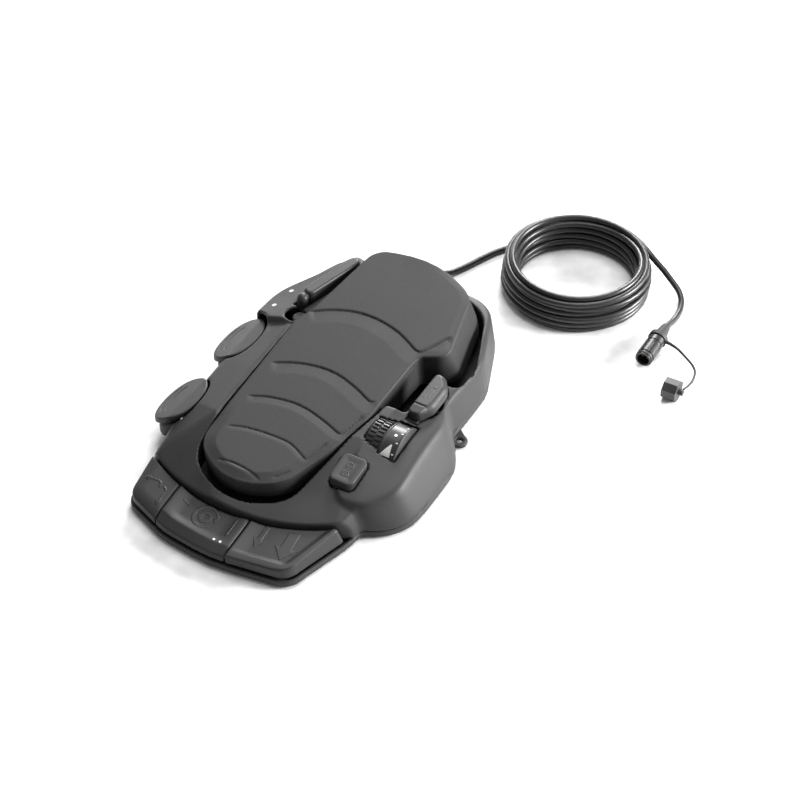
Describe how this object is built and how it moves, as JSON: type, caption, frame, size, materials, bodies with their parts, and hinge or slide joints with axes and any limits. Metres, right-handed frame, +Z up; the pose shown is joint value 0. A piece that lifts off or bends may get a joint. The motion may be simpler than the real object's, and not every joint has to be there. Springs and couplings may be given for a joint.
{
  "type": "trolling motor foot pedal",
  "caption": "Corded foot control for a trolling motor: tilting tread, foot buttons, speed wheel, and a coiled cable with a round capped plug.",
  "frame": {"origin": "middle of the pedal's footprint, on the deck it stands on; the free cable and its plug are not counted", "axes": "+X towards the side with the speed wheel, +Y from the front buttons to the heel and the cable outlet, +Z up"},
  "size_m": [0.3507, 0.4879, 0.0638],
  "materials": {
    "casing_plastic": "fine moulded grain",
    "pedal_plastic": "sand-textured tread",
    "button_plastic": "satin",
    "wheel_plastic": "semi-gloss",
    "black_rubber": "matt moulded rubber",
    "dome_rubber": "soft silicone",
    "cable_jacket": "satin PVC jacket",
    "connector_plastic": "moulded, satin",
    "cap_plastic": "moulded, satin",
    "bushing_plastic": "natural acetal",
    "stainless_steel": "turned stainless steel",
    "spring_steel": "drawn spring wire",
    "magnet_nickel": "nickel plated",
    "board_green": "solder mask",
    "contact_gold": "gold flash"
  },
  "bodies": {
    "housing": {"base_tray": "casing_plastic", "rubber_feet": "black_rubber", "top_housing": "casing_plastic", "housing_screws": "stainless_steel", "pedal_axle": "stainless_steel", "axle_clips": "stainless_steel", "front_pedal_spring": "spring_steel", "rear_pedal_spring": "spring_steel", "travel_stops": "black_rubber", "left_front_dome": "dome_rubber", "centre_front_dome": "dome_rubber", "right_front_dome": "dome_rubber", "front_side_dome": "dome_rubber", "rear_side_dome": "dome_rubber", "square_dome": "dome_rubber", "momentary_pin": "stainless_steel", "momentary_dome": "dome_rubber", "rocker_pin": "stainless_steel", "rocker_dome": "dome_rubber", "potentiometer": "stainless_steel", "front_board": "board_green", "left_board": "board_green", "right_board": "board_green", "rocker_board": "board_green", "bar_board": "board_green", "well_board": "board_green", "wiring_harness": "cable_jacket", "cable_clamp": "casing_plastic", "cable_gland": "black_rubber", "gland_nut": "connector_plastic", "cable_lead": "cable_jacket", "cable_coil": "cable_jacket", "cable_tail": "cable_jacket", "connector_boot": "black_rubber", "connector_shell": "connector_plastic", "contact_insert": "connector_plastic", "contact_pins": "contact_gold", "sealing_ring": "black_rubber", "tether_ring": "black_rubber", "cap_tether": "black_rubber", "dust_cap": "cap_plastic"},
    "pedal": {"foot_pedal": "pedal_plastic", "axle_bushings": "bushing_plastic", "pedal_magnets": "magnet_nickel"},
    "left_front_key": {"left_front_button": "button_plastic"},
    "centre_front_key": {"centre_front_button": "button_plastic"},
    "right_front_key": {"right_front_button": "button_plastic"},
    "front_side_key": {"front_side_button": "button_plastic"},
    "rear_side_key": {"rear_side_button": "button_plastic"},
    "square_key": {"square_button": "button_plastic"},
    "bar_key": {"momentary_bar": "button_plastic"},
    "rocker_key": {"mode_rocker": "button_plastic"},
    "wheel": {"speed_wheel": "wheel_plastic"},
    "coupling": {"coupling_ring": "connector_plastic"}
  },
  "joints": [
    {"name": "pedal_tilt", "type": "hinge", "parent": "housing", "child": "pedal", "pos_m": [0, 0.015, 0.03], "axis": [1, 0, 0], "range_deg": [-4, 4], "stiffness_Nm_per_rad": 6, "deforming": ["front_pedal_spring", "rear_pedal_spring"]},
    {"name": "left_front_press", "type": "slide", "parent": "housing", "child": "left_front_key", "axis": [0, 0, -1], "range_m": [0, 0.0015], "stiffness_N_per_m": 900, "springref_m": -0.0006, "deforming": ["left_front_dome"]},
    {"name": "centre_front_press", "type": "slide", "parent": "housing", "child": "centre_front_key", "axis": [0, 0, -1], "range_m": [0, 0.0015], "stiffness_N_per_m": 900, "springref_m": -0.0006, "deforming": ["centre_front_dome"]},
    {"name": "right_front_press", "type": "slide", "parent": "housing", "child": "right_front_key", "axis": [0, 0, -1], "range_m": [0, 0.0015], "stiffness_N_per_m": 900, "springref_m": -0.0006, "deforming": ["right_front_dome"]},
    {"name": "front_side_press", "type": "slide", "parent": "housing", "child": "front_side_key", "axis": [0, 0, -1], "range_m": [0, 0.0025], "stiffness_N_per_m": 700, "springref_m": -0.001, "deforming": ["front_side_dome"]},
    {"name": "rear_side_press", "type": "slide", "parent": "housing", "child": "rear_side_key", "axis": [0, 0, -1], "range_m": [0, 0.0025], "stiffness_N_per_m": 700, "springref_m": -0.001, "deforming": ["rear_side_dome"]},
    {"name": "square_press", "type": "slide", "parent": "housing", "child": "square_key", "axis": [0, 0, -1], "range_m": [0, 0.0018], "stiffness_N_per_m": 700, "springref_m": -0.00072, "deforming": ["square_dome"]},
    {"name": "bar_press", "type": "hinge", "parent": "housing", "child": "bar_key", "pos_m": [-0.062, 0.0755, 0.0445], "axis": [0.9636, -0.2672, 0], "range_deg": [-3, 0], "stiffness_Nm_per_rad": 2, "springref_deg": 1.15, "deforming": ["momentary_dome"]},
    {"name": "rocker_press", "type": "hinge", "parent": "housing", "child": "rocker_key", "pos_m": [0.078, 0.0055, 0.039], "axis": [1, 0, 0], "range_deg": [-4, 0], "stiffness_Nm_per_rad": 1.2, "springref_deg": 1.72, "deforming": ["rocker_dome"]},
    {"name": "speed_turn", "type": "hinge", "parent": "housing", "child": "wheel", "pos_m": [0.07, -0.019, 0.0275], "axis": [1, 0, 0], "range_deg": [-135, 135]},
    {"name": "coupling_turn", "type": "hinge", "parent": "housing", "child": "coupling", "pos_m": [0.189, 0.202, 0.0081], "axis": [0, -1, 0], "continuous": true}
  ]
}
